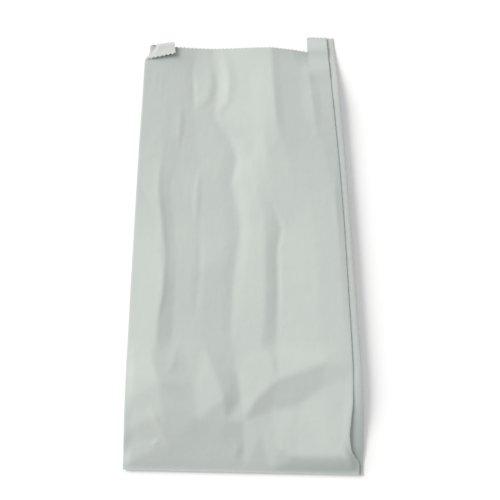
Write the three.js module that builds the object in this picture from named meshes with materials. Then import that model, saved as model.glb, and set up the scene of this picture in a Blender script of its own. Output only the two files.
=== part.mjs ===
// A white gusseted paper bag, lying flat on its back with its mouth towards +Y.
// One sheet of paper is glued into a tube by a lengthwise seam in the back panel, its two sides are
// folded in as gussets, and its bottom end is folded under and glued as a hem. The mouth is cut with
// a toothed knife, and an ear stands up at each side of it, where the gussets are. The left ear has
// curled over towards the front. Millimetres, +Z up.
import * as THREE from "three";

// Driving dimensions
const PANEL_WIDTH = 175; // over the side folds
const LENGTH = 356; // from the bottom fold to the mouth between the ears
const EAR_HEIGHT = 19; // the ears stand this far past the mouth
const EAR_WIDTH = 25.5; // from the side fold to the ear's cut
const GUSSET_DEPTH = 24; // from the side fold to the gusset's inner fold
const SHEAR = 5.6; // the front panel lies this far left of the back panel
const PAPER = 0.1; // thickness of the paper
const FOLD_RADIUS = 0.15; // middle of the paper at a pressed fold
const CREST_HEIGHT = 10; // how high the front panel's crest stands
const OUT_OF_SQUARE = 0.032; // slope of the two ends across the bag
const TOOTH_PITCH = 3.5;
const TOOTH_DEPTH = 1.4;
const SEAM_OVERLAP = 12; // glued overlap of the lengthwise seam
const HEM_LENGTH = 18; // bottom end folded under the back panel
const HEM_THICKNESS = 0.25; // the glued layers of the hem
const HEM_EASE = 8; // length over which the back panel comes down past the hem
const BOTTOM_SEAL = 1; // depth of paper in the bottom fold
const GUSSET_RISE = 0.9; // the gussets' inner folds stand this far off the back panel
const EDGE_LIFT = 6.4; // the right side folds stand this far off the ground
const CORNER_LIFT = 6.4; // the back panel's rise under the curled ear
const CORNER_CRUSH = 16; // length over which the left corner is crushed in below the mouth
const CORNER_PINCH = 4.5; // the left fold's move to the right at the mouth
const CREST_PINCH = 11; // and at the top of the ear's curl
const TIP_PINCH = 2; // and at the ear's end
const CUT_PINCH = 1.5; // the ear's cut moves this far to the left at the top of the curl
const EAR_SKEW = 3.5; // the curl begins this much lower at the left fold than at the cut
const EAR_PRESS = 4.75; // length past the mouth over which the curled ear's layers close up
const SEAM_EASE = 5; // width over which the back panel comes down beside the seam
const SLIT_EDGE = 0.05; // width of the step at a glued edge

const HALF_WIDTH = PANEL_WIDTH / 2;
const EAR_CUT = HALF_WIDTH - EAR_WIDTH;
const GUSSET_FOLD = HALF_WIDTH - GUSSET_DEPTH;
const TIP = LENGTH + EAR_HEIGHT;
const PINCHED = HEM_THICKNESS + PAPER + 6 * FOLD_RADIUS;

// Shares of the length: the right side folds have risen off the ground at the first, and begin to
// come down again at the second. The back panel begins to rise to its left corner at the third.
const EDGE_RISEN = 0.2;
const EDGE_FALLS = 0.85;
const CORNER_RISES = 0.88;

// Lengthwise folds and creases of the front panel, from left to right. Each point gives the share of
// the length from the bottom fold, the share of half the width, and the height as a share of CREST_HEIGHT.
// The front panel is straight across between one crease and the next.
const LEFT_FOLD = [
  [0.02, -0.985, 0.17], [0.06, -0.985, 0.42], [0.12, -0.988, 0.6], [0.2, -0.99, 0.72],
  [0.3, -0.99, 0.78], [0.4, -0.992, 0.78], [0.5, -0.992, 0.76], [0.6, -0.992, 0.82],
  [0.7, -0.99, 0.86], [0.8, -0.985, 0.92], [0.9, -0.982, 0.93], [1, -0.982, 0.94],
];
const LEFT_RIDGE = [
  [0.02, -0.69, 0.18], [0.06, -0.7, 0.5], [0.12, -0.715, 0.78], [0.2, -0.73, 0.9], [0.3, -0.74, 0.96],
  [0.38, -0.71, 0.97], [0.46, -0.735, 0.9], [0.53, -0.755, 0.84], [0.6, -0.79, 0.86],
  [0.69, -0.775, 0.83], [0.8, -0.74, 0.83], [0.92, -0.71, 0.77], [1, -0.71, 0.86],
];
const LEFT_SLOPE = [
  [0.02, -0.47, 0.19], [0.06, -0.48, 0.44], [0.12, -0.53, 0.62], [0.2, -0.6, 0.78], [0.3, -0.61, 0.8],
  [0.4, -0.6, 0.83], [0.53, -0.64, 0.7], [0.6, -0.67, 0.75], [0.69, -0.6, 0.72], [0.8, -0.605, 0.75],
  [0.92, -0.58, 0.69], [1, -0.56, 0.77],
];
const LEFT_CREASE = [
  [0.02, -0.1, 0.19], [0.07, -0.08, 0.46], [0.12, -0.12, 0.6], [0.17, -0.2, 0.7], [0.22, -0.3, 0.73],
  [0.3, -0.38, 0.74], [0.4, -0.385, 0.76], [0.5, -0.393, 0.64], [0.6, -0.4, 0.68], [0.69, -0.41, 0.64],
  [0.8, -0.465, 0.66], [0.88, -0.475, 0.63], [0.95, -0.47, 0.65], [1, -0.46, 0.7],
];
const VALLEY = [
  [0.02, 0.01, 0.2], [0.07, 0, 0.44], [0.12, -0.03, 0.56], [0.2, -0.09, 0.6], [0.3, -0.1, 0.61],
  [0.38, -0.095, 0.62], [0.47, -0.05, 0.62], [0.55, -0.06, 0.61], [0.62, -0.1, 0.6],
  [0.68, -0.04, 0.6], [0.73, -0.1, 0.6], [0.8, -0.26, 0.61], [0.89, -0.23, 0.61], [1, -0.28, 0.64],
];
const LENS_EDGE = [
  [0.02, 0.06, 0.2], [0.12, 0.03, 0.56], [0.3, -0.04, 0.62], [0.4, -0.01, 0.64], [0.5, 0.005, 0.63],
  [0.62, -0.02, 0.65], [0.68, 0.02, 0.66], [0.74, -0.01, 0.7], [0.8, -0.16, 0.67], [0.88, -0.12, 0.73],
  [1, -0.11, 0.75],
];
const MID_FRONT = [
  [0.02, 0.13, 0.22], [0.1, 0.1, 0.56], [0.2, 0.13, 0.62], [0.3, 0.19, 0.69], [0.45, 0.21, 0.745],
  [0.53, 0.21, 0.76], [0.6, 0.15, 0.78], [0.7, 0.12, 0.77], [0.8, 0.1, 0.89], [0.9, 0.1, 0.89],
  [1, 0.11, 0.93],
];
const RIGHT_VALLEY = [
  [0.02, 0.25, 0.25], [0.06, 0.24, 0.5], [0.1, 0.23, 0.55], [0.2, 0.24, 0.57], [0.28, 0.3, 0.58],
  [0.38, 0.33, 0.63], [0.46, 0.34, 0.65], [0.51, 0.37, 0.68], [0.56, 0.3, 0.76], [0.65, 0.25, 0.84],
  [0.8, 0.23, 1], [0.88, 0.22, 1], [1, 0.24, 1],
];
const CREST = [
  [0.02, 0.48, 0.28], [0.06, 0.48, 0.58], [0.12, 0.47, 0.58], [0.15, 0.47, 0.59], [0.19, 0.47, 0.63],
  [0.3, 0.5, 0.67], [0.4, 0.51, 0.71], [0.5, 0.515, 0.74], [0.62, 0.48, 0.85], [0.69, 0.45, 0.93],
  [0.76, 0.38, 1.04], [0.83, 0.34, 1.08], [1, 0.32, 1.03],
];
const RIGHT_SLOPE = [
  [0.02, 0.66, 0.28], [0.06, 0.66, 0.6], [0.12, 0.65, 0.62], [0.16, 0.65, 0.64], [0.2, 0.65, 0.7],
  [0.3, 0.67, 0.74], [0.4, 0.675, 0.78], [0.5, 0.67, 0.8], [0.62, 0.62, 0.86], [0.7, 0.6, 0.91],
  [0.78, 0.56, 0.95], [0.84, 0.57, 0.92], [0.92, 0.6, 0.86], [1, 0.55, 0.74],
];
const RIGHT_RIDGE = [
  [0.02, 0.79, 0.26], [0.06, 0.79, 0.6], [0.12, 0.79, 0.65], [0.16, 0.8, 0.67], [0.2, 0.84, 0.74],
  [0.3, 0.885, 0.77], [0.4, 0.89, 0.79], [0.5, 0.885, 0.81], [0.6, 0.86, 0.83], [0.7, 0.81, 0.85],
  [0.8, 0.745, 0.86], [0.92, 0.715, 0.78], [1, 0.709, 0.42],
];
const RIGHT_FOLD = [
  [0.02, 0.94, 0.24], [0.045, 0.88, 0.54], [0.07, 0.872, 0.6], [0.1, 0.89, 0.62], [0.14, 0.917, 0.66],
  [0.22, 0.935, 0.75], [0.38, 0.942, 0.745], [0.53, 0.946, 0.745], [0.66, 0.942, 0.745],
  [0.84, 0.925, 0.75], [0.94, 0.918, 0.53], [1, 0.917, 0.28],
];
const CREASES = [
  LEFT_FOLD, LEFT_RIDGE, LEFT_SLOPE, LEFT_CREASE, VALLEY, LENS_EDGE,
  MID_FRONT, RIGHT_VALLEY, CREST, RIGHT_SLOPE, RIGHT_RIDGE, RIGHT_FOLD,
];
const LEFT_CUT_CREASE = 1; // crease that runs out into the left ear's cut
const RIGHT_CUT_CREASE = CREASES.length - 2; // crease that runs out into the right ear's cut

// Outer edge of the back panel on the right: share of the length, share of half the width.
const BACK_EDGE = [[0, 0.968], [0.06, 0.99], [0.14, 1.004], [0.5, 1.007], [0.85, 0.997], [1, 0.99]];

// Curl of the left ear: share of its height, direction of the paper in degrees above +Y.
const EAR_CURL = [[0, 14], [0.2, 30], [0.42, 178], [0.55, 187], [1, 183]];
const CREST_OF_CURL = 0.32; // share of the ear's height where the curl turns over

const COLUMNS_PER_SPAN = 2; // between two creases
const ARC_STEPS = 4; // in the half turn of a fold
const LEAF_COLUMNS = 2;

const STATIONS = [
  0, 0.003, 0.008, 0.02, 0.035, 0.065, 0.085, 0.115, 0.14, 0.165, 0.19, 0.22, 0.26, 0.3, 0.34, 0.38,
  0.42, 0.46, 0.5, 0.54, 0.58, 0.62, 0.66, 0.7, 0.74, 0.78, 0.82, 0.86, 0.9, 0.935, 0.96, 0.978,
].map((share) => share * LENGTH);
const HEM_STATIONS = [HEM_LENGTH, HEM_LENGTH + SLIT_EDGE, HEM_LENGTH + HEM_EASE];
const MOUTH_ROW = LENGTH - 2 * TOOTH_DEPTH;
const EAR_ROWS = [0.1, 0.2, 0.26, 0.32, 0.37, 0.43, 0.56, 0.75].map((share) => LENGTH + share * EAR_HEIGHT);
const LAST_EAR_ROW = TIP - 1.6 * TOOTH_DEPTH;

function smooth(from, to, value) {
  const t = Math.min(1, Math.max(0, (value - from) / (to - from)));
  return t * t * (3 - 2 * t);
}

// Value at `at` on a smooth curve through the points, whose first numbers rise.
function along(points, at, which) {
  const last = points.length - 1;
  if (at <= points[0][0]) return points[0][which];
  if (at >= points[last][0]) return points[last][which];
  let k = 0;
  while (at > points[k + 1][0]) k += 1;
  const slope = (a, b) => (points[b][which] - points[a][which]) / (points[b][0] - points[a][0]);
  const tangent = (i) => {
    if (i === 0 || i === last) return 0;
    const [before, after] = [slope(i - 1, i), slope(i, i + 1)];
    return before * after <= 0 ? 0 : (2 * before * after) / (before + after);
  };
  const width = points[k + 1][0] - points[k][0];
  const t = (at - points[k][0]) / width;
  const [t2, t3] = [t * t, t * t * t];
  return (2 * t3 - 3 * t2 + 1) * points[k][which] + (t3 - 2 * t2 + t) * width * tangent(k)
    + (3 * t2 - 2 * t3) * points[k + 1][which] + (t3 - t2) * width * tangent(k + 1);
}

// Points [x, z] of the front panel's creases at a distance from the bottom fold.
function creasePoints(station) {
  const share = Math.min(station / LENGTH, 1);
  const pinch = smooth(0, CREASES[0][0][0], share);
  const ear = smooth(LENGTH, TIP, station);
  const folded = smooth(LENGTH, LENGTH + EAR_PRESS, station);
  return CREASES.map((crease, k) => {
    let x = along(crease, share, 1) * HALF_WIDTH;
    const toCut = smooth(0.9, 0.96, share);
    if (k === LEFT_CUT_CREASE) x += (-EAR_CUT - x) * toCut;
    if (k === RIGHT_CUT_CREASE) x += (EAR_CUT - x) * toCut;
    const height = PINCHED + (along(crease, share, 2) * CREST_HEIGHT - PINCHED) * pinch;
    if (k >= RIGHT_CUT_CREASE) return [x, height + (PINCHED - height) * ear];
    if (k <= LEFT_CUT_CREASE) return [x, height + (CORNER_LIFT + PINCHED - height) * folded];
    return [x, height];
  });
}

// Rise of the back panel and the gussets under the curled left ear.
function cornerLift(x, station) {
  const rise = smooth(CORNER_RISES * LENGTH, LENGTH, station) ** 1.5;
  return CORNER_LIFT * smooth(-EAR_CUT / 2, -EAR_CUT, x) * rise;
}

function hemLift(station) {
  return HEM_THICKNESS * (1 - smooth(HEM_LENGTH, HEM_LENGTH + HEM_EASE, station));
}

// Paper in the seam's overlap, on its inner side: none, one edge eased over, or the second layer.
const SEAM_EDGE = SEAM_OVERLAP / 2;
const HALFWAY = (EAR_CUT + SEAM_EDGE) / 2;
const BACK_COLUMNS = [
  [EAR_CUT, 0, 0], [HALFWAY, 0, 0], [SEAM_EDGE + SEAM_EASE, 0, 0], [SEAM_EDGE + SLIT_EDGE, 1, 0],
  [SEAM_EDGE - SLIT_EDGE, 1, 1], [-SEAM_EDGE + SLIT_EDGE, 1, 1], [-SEAM_EDGE - SLIT_EDGE, 0, 0],
  [-SEAM_EDGE - SEAM_EASE, 0, 0], [-HALFWAY, 0, 0], [-EAR_CUT, 0, 0],
].map(([x, raised, doubled]) => ({ x, raised, doubled }));

// Half turn of a pressed fold, from [x, z] at its upper or lower leaf to the other one.
function foldArc(x, z, outward, downward) {
  return Array.from({ length: ARC_STEPS + 1 }, (_, i) => {
    const angle = (Math.PI * i) / ARC_STEPS;
    const drop = FOLD_RADIUS * (1 - Math.cos(angle));
    return [x + outward * (FOLD_RADIUS * Math.sin(angle) - FOLD_RADIUS), z - downward * drop];
  });
}

function between(a, b, count) {
  return Array.from({ length: count - 1 }, (_, i) => {
    const t = (i + 1) / count;
    return [a[0] + (b[0] - a[0]) * t, a[1] + (b[1] - a[1]) * t];
  });
}

// The two leaves of a gusset, from the front panel's fold down to the back panel's fold.
function gusset(frontArc, innerArc, backArc) {
  const last = ARC_STEPS;
  return [
    ...frontArc, ...between(frontArc[last], innerArc[0], LEAF_COLUMNS),
    ...innerArc, ...between(innerArc[last], backArc[0], LEAF_COLUMNS), ...backArc,
  ];
}

// Closed section of the tube across the bag: front panel, right gusset, back panel, left gusset.
// Every section has the same columns, and the middle of the paper lies on its points.
const sections = new Map();
function section(station) {
  if (sections.has(station)) return sections.get(station);
  const share = Math.min(station / LENGTH, 1);
  const front = creasePoints(station);
  const backZ = PAPER / 2 + hemLift(station);
  const pressed = smooth(LENGTH, TIP, station);
  const folded = smooth(LENGTH, LENGTH + EAR_PRESS, station);
  const rise = GUSSET_RISE * smooth(0, 0.05, share);
  const stacked = backZ + 3 * FOLD_RADIUS;
  const rightEdge = along(BACK_EDGE, share, 1) * HALF_WIDTH;
  const leftEdge = -HALF_WIDTH + SHEAR;
  const leftFront = front[0];
  const rightFront = front[front.length - 1];
  const rightInnerZ = stacked + rise * (1 - pressed);
  const fallen = smooth(EDGE_FALLS * LENGTH, TIP, station);
  const rightLift = EDGE_LIFT * smooth(0, EDGE_RISEN, share) * (1 - fallen);
  const leftLift = cornerLift(-EAR_CUT, station);
  const leftInnerZ = stacked + rise * (1 - folded) + leftLift;

  front[0] = [leftFront[0] + FOLD_RADIUS, leftFront[1]];
  front[front.length - 1] = [rightFront[0] - FOLD_RADIUS, rightFront[1]];
  const points = [front[0]];
  for (let k = 1; k < front.length; k += 1) {
    points.push(...between(front[k - 1], front[k], COLUMNS_PER_SPAN), front[k]);
  }
  points.pop();
  points.push(...gusset(
    foldArc(rightFront[0], rightFront[1], 1, 1),
    foldArc(GUSSET_FOLD, rightInnerZ + FOLD_RADIUS, -1, 1),
    foldArc(rightEdge, backZ + rightLift + 2 * FOLD_RADIUS, 1, 1),
  ));
  for (const column of BACK_COLUMNS) {
    points.push([column.x, backZ + column.raised * PAPER + cornerLift(column.x, station)]);
  }
  const up = gusset(
    foldArc(leftFront[0], leftFront[1], -1, 1),
    foldArc(-GUSSET_FOLD, leftInnerZ + FOLD_RADIUS, 1, 1),
    foldArc(leftEdge, backZ + leftLift + 2 * FOLD_RADIUS, -1, 1),
  ).reverse();
  up.pop();
  points.push(...up);
  sections.set(station, points);
  return points;
}

const COLUMN_COUNT = section(0).length;
const FRONT_LEFT_CUT = LEFT_CUT_CREASE * COLUMNS_PER_SPAN;
const FRONT_RIGHT_CUT = RIGHT_CUT_CREASE * COLUMNS_PER_SPAN;
const FRONT_END = (CREASES.length - 1) * COLUMNS_PER_SPAN;
const LEAF = ARC_STEPS + LEAF_COLUMNS;
const RIGHT_INNER_ARC = FRONT_END + LEAF;
const RIGHT_BACK_ARC = RIGHT_INNER_ARC + LEAF;
const BACK_RIGHT_CUT = RIGHT_BACK_ARC + ARC_STEPS + 1;
const BACK_LEFT_CUT = BACK_RIGHT_CUT + BACK_COLUMNS.length - 1;
const LEFT_BACK_ARC = BACK_LEFT_CUT + 1;
const LEFT_INNER_ARC = LEFT_BACK_ARC + LEAF;
const LEFT_FRONT_ARC = LEFT_INNER_ARC + LEAF;

// Path of the middle of the curled ear: [forward, up] at a distance from where the curl begins.
const CURL_STEP = 0.25;
const curlPath = [[0, 0]];
function curlAngle(distance) {
  return THREE.MathUtils.degToRad(along(EAR_CURL, distance / EAR_HEIGHT, 1));
}
for (let k = 0; k * CURL_STEP < EAR_HEIGHT + EAR_SKEW + TOOTH_DEPTH; k += 1) {
  const angle = curlAngle((k + 0.5) * CURL_STEP);
  const [forward, up] = curlPath[k];
  curlPath.push([forward + CURL_STEP * Math.cos(angle), up + CURL_STEP * Math.sin(angle)]);
}
function curled(distance) {
  const k = Math.min(Math.floor(distance / CURL_STEP), curlPath.length - 2);
  const t = distance / CURL_STEP - k;
  const [a, b] = [curlPath[k], curlPath[k + 1]];
  return [a[0] + (b[0] - a[0]) * t, a[1] + (b[1] - a[1]) * t, curlAngle(distance) - curlAngle(0)];
}

// Value that runs from one at the mouth over one at the curl's crest to one at the ear's end.
function overCrest(station, atMouth, atCrest, atTip) {
  const share = Math.min(1, Math.max(0, (station - LENGTH) / EAR_HEIGHT));
  if (share < CREST_OF_CURL) return atMouth + ((atCrest - atMouth) * share) / CREST_OF_CURL;
  return atCrest + ((atTip - atCrest) * (share - CREST_OF_CURL)) / (1 - CREST_OF_CURL);
}

// Move to the right of the crushed left corner and its curled ear. The share is 0 at the ear's cut
// and 1 at the left fold.
function pinched(share, station) {
  const crushed = smooth(LENGTH - CORNER_CRUSH, LENGTH - CORNER_CRUSH / 2, station);
  const inward = CORNER_PINCH * crushed + overCrest(station, 0, CREST_PINCH, TIP_PINCH)
    - overCrest(station, 0, CORNER_PINCH, CORNER_PINCH);
  return inward * share - overCrest(station, 0, CUT_PINCH, 0) * (1 - share);
}

// Point of the paper's middle. The column may lie between two columns of the section.
function middle(column, station) {
  const points = section(station);
  const base = Math.floor(column);
  const a = points[((base % COLUMN_COUNT) + COLUMN_COUNT) % COLUMN_COUNT];
  const b = points[(((base + 1) % COLUMN_COUNT) + COLUMN_COUNT) % COLUMN_COUNT];
  const t = column - base;
  const x = a[0] + (b[0] - a[0]) * t;
  const z = a[1] + (b[1] - a[1]) * t;
  const square = -OUT_OF_SQUARE * x;
  if (x > 0) return new THREE.Vector3(x, station + square, z);
  const fromCut = Math.min(1, Math.max(0, (-EAR_CUT - x) / EAR_WIDTH));
  const moved = x + pinched(fromCut, station);
  const start = LENGTH - EAR_SKEW * fromCut;
  if (station <= start) return new THREE.Vector3(moved, station + square, z);
  const core = CORNER_LIFT + PINCHED / 2;
  const [forward, up, turned] = curled(station - start);
  const offset = z - core;
  return new THREE.Vector3(
    moved,
    start + square + forward - offset * Math.sin(turned),
    core + up + offset * Math.cos(turned),
  );
}

// Paper added on the outside of the back panel: the seam's second layer and the hem.
function addedOutside(column, station) {
  if (column < BACK_RIGHT_CUT - 1 || column > BACK_LEFT_CUT + 1) return 0;
  const nearest = BACK_COLUMNS[Math.round(column) - BACK_RIGHT_CUT];
  return (nearest ? nearest.doubled * PAPER : 0) + (station <= HEM_LENGTH ? HEM_THICKNESS : 0);
}

const OUTSIDE = 1;
const INSIDE = -1;
const SIDE_STEP = 0.25; // share of a column, to each side of a point, for its direction
const positions = [];
const known = new Map();
function vertex(side, column, station) {
  const wrapped = ((column % COLUMN_COUNT) + COLUMN_COUNT) % COLUMN_COUNT;
  const key = `${side} ${wrapped.toFixed(4)} ${station.toFixed(4)}`;
  if (known.has(key)) return known.get(key);
  const low = Math.max(0, station - 2 * PAPER);
  const high = Math.min(station + 2 * PAPER, TIP + TOOTH_DEPTH);
  const tangent = middle(column + SIDE_STEP, station).sub(middle(column - SIDE_STEP, station));
  const forward = middle(column, high).sub(middle(column, low));
  const normal = tangent.cross(forward).normalize();
  const thickness = PAPER / 2 + (side === OUTSIDE ? addedOutside(wrapped, station) : 0);
  const point = middle(column, station).addScaledVector(normal, side * thickness);
  known.set(key, positions.length / 3);
  positions.push(point.x, point.y, point.z);
  return known.get(key);
}

const triangles = [];
function addTriangle(a, b, c, flip) {
  if (a === b || b === c || c === a) return;
  if (flip) triangles.push(a, c, b);
  else triangles.push(a, b, c);
}

// Fills the strip between two chains of [vertex, place], whose places rise or fall together.
function bridge(lower, upper, flip) {
  const rising = lower[lower.length - 1][1] >= lower[0][1] ? 1 : -1;
  let i = 0;
  let j = 0;
  while (i < lower.length - 1 || j < upper.length - 1) {
    const lowerNext = i < lower.length - 1 ? rising * lower[i + 1][1] : Infinity;
    const upperNext = j < upper.length - 1 ? rising * upper[j + 1][1] : Infinity;
    if (lowerNext <= upperNext) {
      addTriangle(lower[i][0], lower[i + 1][0], upper[j][0], flip);
      i += 1;
    } else {
      addTriangle(lower[i][0], upper[j + 1][0], upper[j][0], flip);
      j += 1;
    }
  }
}

function chain(side, columns, stationOf) {
  return columns.map((column) => [vertex(side, column, stationOf(column)), column]);
}

function range(from, to) {
  return Array.from({ length: to - from + 1 }, (_, i) => from + i);
}

// Regular rows of the paper between two columns.
function addRows(side, from, to, rows) {
  const columns = range(from, to);
  for (let j = 0; j + 1 < rows.length; j += 1) {
    bridge(chain(side, columns, () => rows[j]), chain(side, columns, () => rows[j + 1]), side === INSIDE);
  }
}

// Toothed edge between two columns, as [column, station] pairs. All layers share the teeth's places.
function toothedEdge(from, to, edge) {
  const points = section(edge);
  const at = (column) => points[((column % COLUMN_COUNT) + COLUMN_COUNT) % COLUMN_COUNT];
  const found = [[from, edge]];
  const flat = (column) => Math.abs(at(column + 1)[0] - at(column)[0]) > 4 * FOLD_RADIUS;
  for (let column = from; column < to; column += 1) {
    const [a, b] = [at(column)[0], at(column + 1)[0]];
    if (flat(column)) {
      const half = TOOTH_PITCH / 2;
      const step = b > a ? 1 : -1;
      const first = step > 0 ? Math.ceil(a / half) : Math.floor(a / half);
      for (let n = first; step * (b - n * half) > 0.3 * half; n += step) {
        const clear = step * (n * half - a) > 0.3 * half;
        if (clear) found.push([column + (n * half - a) / (b - a), edge + (n % 2 ? 0.5 : -0.5) * TOOTH_DEPTH]);
      }
    }
    const turning = !flat(column) || (column + 1 < to && !flat(column + 1));
    if (turning || column + 1 === to) found.push([column + 1, edge]);
  }
  return found;
}

function addEdge(from, to, row, edge) {
  const teeth = toothedEdge(from, to, edge);
  for (const side of [OUTSIDE, INSIDE]) {
    const upper = teeth.map(([column, station]) => [vertex(side, column, station), column]);
    bridge(chain(side, range(from, to), () => row), upper, side === INSIDE);
  }
  addRim(teeth);
}

// Cut face of the paper along a line of [column, station] pairs.
function addRim(line) {
  for (let k = 0; k + 1 < line.length; k += 1) {
    const [a, b] = [line[k], line[k + 1]];
    const outer = [vertex(OUTSIDE, ...a), vertex(OUTSIDE, ...b)];
    const inner = [vertex(INSIDE, ...a), vertex(INSIDE, ...b)];
    addTriangle(outer[0], outer[1], inner[1], false);
    addTriangle(outer[0], inner[1], inner[0], false);
  }
}

// An ear: the columns from one cut round the gusset to the other, above the last common row.
function addEar(from, to) {
  const rows = [MOUTH_ROW, LENGTH, ...EAR_ROWS, LAST_EAR_ROW];
  addRows(OUTSIDE, from, to, rows);
  addRows(INSIDE, from, to, rows);
  addEdge(from, to, LAST_EAR_ROW, TIP);
  const cut = [LENGTH, ...EAR_ROWS, LAST_EAR_ROW, TIP];
  addRim(cut.map((station) => [to, station]).reverse());
  addRim(cut.map((station) => [from, station]));
}

// Closes the tube across one end: the middle between the gussets' inner folds, then four wedges.
function addEnd(side, station) {
  const points = section(station);
  const ends = (columns) => columns.map((column) => {
    const wrapped = column % COLUMN_COUNT;
    return [vertex(side, wrapped, station), points[wrapped][0]];
  });
  const half = ARC_STEPS / 2;
  const flip = side === OUTSIDE;
  const rightInner = RIGHT_INNER_ARC + half;
  const leftInner = LEFT_INNER_ARC + half;
  const rightFront = FRONT_END + half;
  const rightBack = RIGHT_BACK_ARC + half;
  const leftBack = LEFT_BACK_ARC + half;
  const leftFront = LEFT_FRONT_ARC + half;
  bridge(
    ends([leftInner, ...range(BACK_RIGHT_CUT, BACK_LEFT_CUT).reverse(), rightInner]),
    ends([leftInner, ...range(FRONT_LEFT_CUT, FRONT_RIGHT_CUT), rightInner]),
    !flip,
  );
  bridge(ends(range(rightFront, rightInner).reverse()), ends(range(FRONT_RIGHT_CUT, rightFront)), !flip);
  bridge(ends(range(rightBack, BACK_RIGHT_CUT).reverse()), ends(range(rightInner, rightBack)), !flip);
  bridge(
    ends(range(BACK_LEFT_CUT, leftBack).reverse()),
    ends(range(leftBack, leftInner)),
    !flip,
  );
  bridge(
    ends(range(leftInner, leftFront).reverse()),
    ends(range(leftFront, COLUMN_COUNT + FRONT_LEFT_CUT)),
    !flip,
  );
}

function addPaper() {
  const rows = [...STATIONS, ...HEM_STATIONS, MOUTH_ROW].sort((a, b) => a - b);
  const inner = [BOTTOM_SEAL, ...rows.filter((station) => station > BOTTOM_SEAL * 1.5)];
  addRows(OUTSIDE, 0, COLUMN_COUNT, rows);
  addRows(INSIDE, 0, COLUMN_COUNT, inner);
  addEnd(OUTSIDE, 0);
  addEnd(INSIDE, BOTTOM_SEAL);
  addEdge(FRONT_LEFT_CUT, FRONT_RIGHT_CUT, MOUTH_ROW, LENGTH);
  addEdge(BACK_RIGHT_CUT, BACK_LEFT_CUT, MOUTH_ROW, LENGTH);
  addEar(FRONT_RIGHT_CUT, BACK_RIGHT_CUT);
  addEar(BACK_LEFT_CUT, COLUMN_COUNT + FRONT_LEFT_CUT);
}

addPaper();
const geometry = new THREE.BufferGeometry();
geometry.setAttribute("position", new THREE.Float32BufferAttribute(positions, 3));
geometry.setIndex(triangles);
geometry.computeBoundingBox();
const { min, max } = geometry.boundingBox;
geometry.translate(-(min.x + max.x) / 2, -(min.y + max.y) / 2, -min.z);
geometry.computeVertexNormals();

const paper = new THREE.MeshStandardMaterial({ color: 0xc6cbc6, roughness: 0.8, metalness: 0 });
const bag = new THREE.Mesh(geometry, paper);
bag.name = "paper_bag";

const group = new THREE.Group();
group.add(bag);
export default group;
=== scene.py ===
# A white gusseted paper bag lying on its back, with its paper at full detail: pressed folds, soft
# creases, toothed cut edges, the glued seam and the hem. Metres, +Z up, +Y towards the mouth.
import math

import bpy
import numpy as np
from mathutils import Matrix, Vector
from mathutils.geometry import delaunay_2d_cdt


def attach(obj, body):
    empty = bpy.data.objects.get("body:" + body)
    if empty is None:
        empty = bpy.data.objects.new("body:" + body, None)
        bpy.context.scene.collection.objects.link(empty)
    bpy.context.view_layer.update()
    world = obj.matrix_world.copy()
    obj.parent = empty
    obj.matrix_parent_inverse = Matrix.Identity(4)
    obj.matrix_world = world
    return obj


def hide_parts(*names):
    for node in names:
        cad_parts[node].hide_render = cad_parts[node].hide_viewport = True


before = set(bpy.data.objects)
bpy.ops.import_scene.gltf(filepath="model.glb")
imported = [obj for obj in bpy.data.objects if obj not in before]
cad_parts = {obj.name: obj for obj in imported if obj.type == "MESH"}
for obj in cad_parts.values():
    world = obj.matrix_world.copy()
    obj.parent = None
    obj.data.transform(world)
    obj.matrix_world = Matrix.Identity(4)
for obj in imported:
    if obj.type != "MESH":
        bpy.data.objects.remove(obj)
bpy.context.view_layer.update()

MM = 0.001

# Driving dimensions, the same as the solid's
PANEL_WIDTH = 175 * MM  # over the side folds
LENGTH = 356 * MM  # from the bottom fold to the mouth between the ears
EAR_HEIGHT = 19 * MM  # the ears stand this far past the mouth
EAR_WIDTH = 25.5 * MM  # from the side fold to the ear's cut
GUSSET_DEPTH = 24 * MM  # from the side fold to the gusset's inner fold
SHEAR = 5.6 * MM  # the front panel lies this far left of the back panel
PAPER = 0.1 * MM  # thickness of the paper
FOLD_RADIUS = 0.15 * MM  # middle of the paper at a pressed fold
CREST_HEIGHT = 10 * MM  # how high the front panel's crest stands
OUT_OF_SQUARE = 0.032  # slope of the two ends across the bag
TOOTH_PITCH = 3.5 * MM
TOOTH_DEPTH = 1.4 * MM
SEAM_OVERLAP = 12 * MM  # glued overlap of the lengthwise seam
HEM_LENGTH = 18 * MM  # bottom end folded under the back panel
HEM_THICKNESS = 0.25 * MM  # the glued layers of the hem
HEM_EASE = 8 * MM  # length over which the back panel comes down past the hem
BOTTOM_SEAL = 1 * MM  # depth of paper in the bottom fold
GUSSET_RISE = 0.9 * MM  # the gussets' inner folds stand this far off the back panel
EDGE_LIFT = 6.4 * MM  # the right side folds stand this far off the ground
CORNER_LIFT = 6.4 * MM  # the back panel's rise under the curled ear
SEAM_EASE = 5 * MM  # width over which the back panel comes down beside the seam
SLIT_EDGE = 0.05 * MM  # width of the step at a glued edge

HALF_WIDTH = PANEL_WIDTH / 2
EAR_CUT = HALF_WIDTH - EAR_WIDTH
GUSSET_FOLD = HALF_WIDTH - GUSSET_DEPTH
TIP = LENGTH + EAR_HEIGHT
PINCHED = HEM_THICKNESS + PAPER + 6 * FOLD_RADIUS

# Shares of the length: the right side folds have risen off the ground at the first, and begin to
# come down again at the second. The back panel begins to rise to its left corner at the third, and
# rises with the power after it. The gussets have opened at the next, and the creases nearest the
# ears turn to the ears' cuts between the last two.
EDGE_RISEN = 0.2
EDGE_FALLS = 0.85
CORNER_RISES = 0.88
CORNER_RISE_POWER = 1.5
GUSSET_OPENED = 0.05
TURN_TO_CUT = (0.9, 0.96)

# Rise of the middle of a gusset's upper and lower leaf. The left ones straighten over the last share
# of the length below the mouth.
LEFT_BOWS = (-0.35 * MM, 0.14 * MM)
RIGHT_BOWS = (1.4 * MM, 1.95 * MM)
LEFT_STRAIGHTENS = 0.12

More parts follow.
